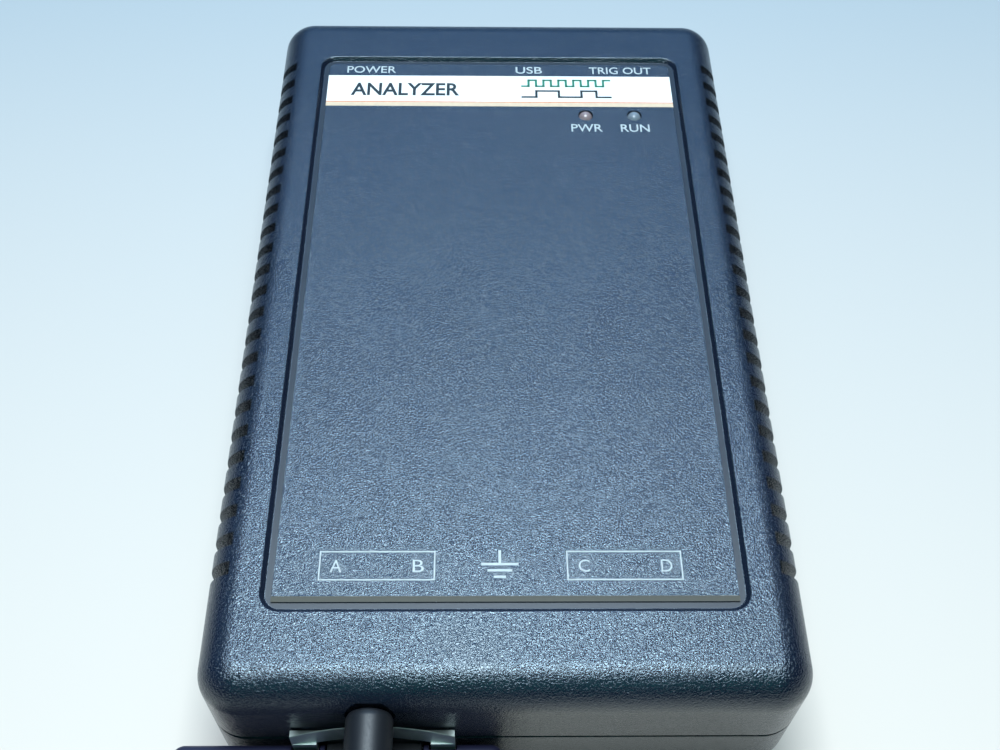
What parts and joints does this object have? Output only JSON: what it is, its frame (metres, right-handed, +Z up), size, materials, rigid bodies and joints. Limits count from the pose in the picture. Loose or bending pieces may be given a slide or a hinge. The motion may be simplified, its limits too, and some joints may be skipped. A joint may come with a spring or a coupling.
{
  "type": "logic analyzer",
  "caption": "Hand-held bench logic analyzer: rounded vented plastic case, sunk label panel with indicator lamps, rear sockets, and a plug-on probe pod held by a thumbscrew.",
  "frame": {"origin": "centre of the bottom shell's flat underside", "axes": "+Z up through the label panel; +Y along the long side towards the power, USB and trigger connectors; +X to the right when the label is read"},
  "size_m": [0.1004, 0.2052, 0.0342],
  "materials": {
    "case_plastic": "leather-grain moulded ABS, satin",
    "label_film": "fine-grain polyester film",
    "black_plastic": "satin",
    "pod_plastic": "satin moulded",
    "white_plastic": "satin",
    "lamp_lens": "diffused clear",
    "foot_rubber": "matt",
    "solder_mask": "satin green",
    "plated_steel": "nickel plated",
    "zinc_plate": "dull zinc plated",
    "brass": "machined",
    "gold_plate": "gold plated"
  },
  "bodies": {
    "case": {"top_shell": "case_plastic", "bottom_shell": "case_plastic", "panel_label": "label_film", "foot_1": "foot_rubber", "foot_2": "foot_rubber", "foot_3": "foot_rubber", "foot_4": "foot_rubber", "case_screw_1": "plated_steel", "case_screw_2": "plated_steel", "case_screw_3": "plated_steel", "case_screw_4": "plated_steel", "main_board": "solder_mask", "pwr_led": "lamp_lens", "run_led": "lamp_lens", "board_screw_1": "plated_steel", "board_screw_2": "plated_steel", "board_screw_3": "plated_steel", "board_screw_4": "plated_steel", "logic_chip": "black_plastic", "memory_chip_1": "black_plastic", "memory_chip_2": "black_plastic", "usb_chip": "black_plastic", "port_buffer_1": "black_plastic", "port_buffer_2": "black_plastic", "regulator": "black_plastic", "crystal": "plated_steel", "capacitor_1": "plated_steel", "capacitor_2": "plated_steel", "power_jack": "black_plastic", "power_jack_pin": "plated_steel", "usb_socket": "plated_steel", "usb_tongue": "white_plastic", "trig_socket": "gold_plate", "trig_washer": "gold_plate", "trig_nut": "gold_plate", "trig_contact": "white_plastic", "probe_socket": "black_plastic", "probe_contacts": "gold_plate", "screw_insert": "brass"},
    "pod": {"pod_top_cover": "pod_plastic", "pod_bottom_cover": "pod_plastic", "pod_plug": "black_plastic", "pod_yoke": "zinc_plate", "pod_board": "solder_mask", "pod_chip_1": "black_plastic", "pod_chip_2": "black_plastic", "lead_header": "black_plastic", "pod_screw_1": "plated_steel", "pod_screw_2": "plated_steel"},
    "thumbscrew": {"thumbscrew": "black_plastic"}
  },
  "joints": [
    {"name": "pod_slide", "type": "slide", "parent": "case", "child": "pod", "axis": [0, -1, 0], "range_m": [0, 0.015]},
    {"name": "thumbscrew_turn", "type": "hinge", "parent": "pod", "child": "thumbscrew", "pos_m": [-0.0208, -0.0796, 0.0265], "axis": [0, -1, 0], "continuous": true}
  ]
}
